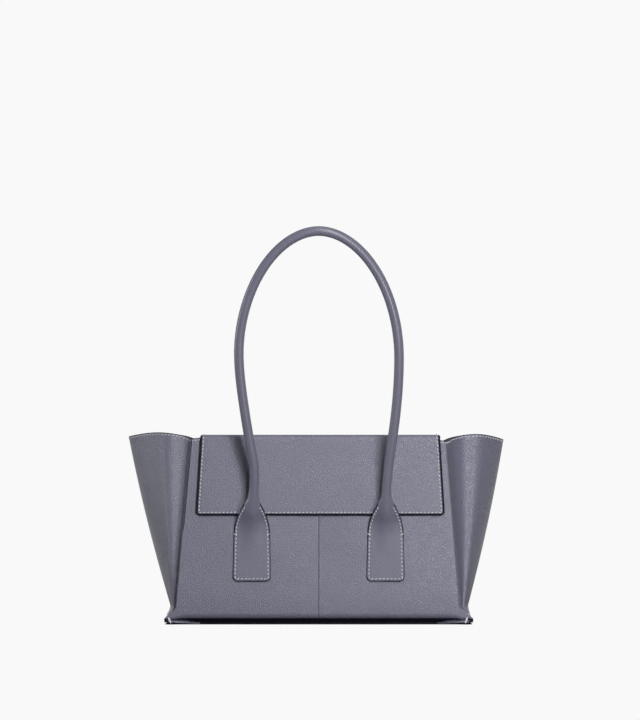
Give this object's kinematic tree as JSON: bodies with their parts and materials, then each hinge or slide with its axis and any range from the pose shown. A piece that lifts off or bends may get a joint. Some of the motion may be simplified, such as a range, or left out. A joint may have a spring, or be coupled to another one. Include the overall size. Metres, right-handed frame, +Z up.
{
  "type": "tote bag",
  "caption": "Structured leather tote bag with flared wing sides, a flap over the top and rolled shoulder handles that flatten into sewn tabs; the flap lifts and the handles swing.",
  "frame": {"origin": "centre of the base underside, on the surface that the bag stands on", "axes": "+X to the right of someone facing the front, the front faces -Y, +Z up"},
  "size_m": [0.385, 0.5089, 0.3913],
  "materials": {
    "leather": "fine pebble grain, satin",
    "lining_cloth": "plain weave",
    "stiffener_board": "bonded fibre",
    "magnet_steel": "plated",
    "handle_cord": "cotton cord"
  },
  "bodies": {
    "bag": {"base_panel": "leather", "front_panel_left": "leather", "front_panel_right": "leather", "back_panel_left": "leather", "back_panel_right": "leather", "wing_left": "leather", "wing_right": "leather", "front_facing": "leather", "back_facing": "leather", "wing_facing_left": "leather", "wing_facing_right": "leather", "flap_anchor": "leather", "front_tab_left": "leather", "front_tab_right": "leather", "rear_tab_left": "leather", "rear_tab_right": "leather", "base_lining": "lining_cloth", "front_lining": "lining_cloth", "back_lining": "lining_cloth", "wing_lining_left": "lining_cloth", "wing_lining_right": "lining_cloth", "base_board": "stiffener_board", "front_stiffener": "stiffener_board", "back_stiffener": "stiffener_board", "panel_magnet": "magnet_steel"},
    "flap_top": {"flap_top": "leather", "flap_top_lining": "lining_cloth"},
    "flap_front": {"flap_front": "leather", "flap_front_lining": "lining_cloth", "flap_stiffener": "stiffener_board", "flap_magnet": "magnet_steel"},
    "front_handle": {"front_handle_cover": "leather", "front_handle_core": "handle_cord"},
    "rear_handle": {"rear_handle_cover": "leather", "rear_handle_core": "handle_cord"}
  },
  "joints": [
    {"name": "flap_lift", "type": "hinge", "parent": "bag", "child": "flap_top", "pos_m": [0, 0.05589, 0.1892], "axis": [-1, 0, 0], "range_deg": [0, 85]},
    {"name": "flap_droop", "type": "hinge", "parent": "flap_top", "child": "flap_front", "pos_m": [0, -0.05709, 0.1855], "axis": [1, 0, 0], "range_deg": [0, 47]},
    {"name": "front_handle_swing", "type": "hinge", "parent": "bag", "child": "front_handle", "pos_m": [0, -0.06491, 0.09006], "axis": [1, 0, 0], "range_deg": [0, 91]},
    {"name": "rear_handle_swing", "type": "hinge", "parent": "bag", "child": "rear_handle", "pos_m": [0, 0.06491, 0.09006], "axis": [1, 0, 0], "range_deg": [0, 91.5]}
  ],
  "couplings": [
    {"joint": "flap_droop", "follows": "flap_lift", "ratio": 0.55}
  ]
}
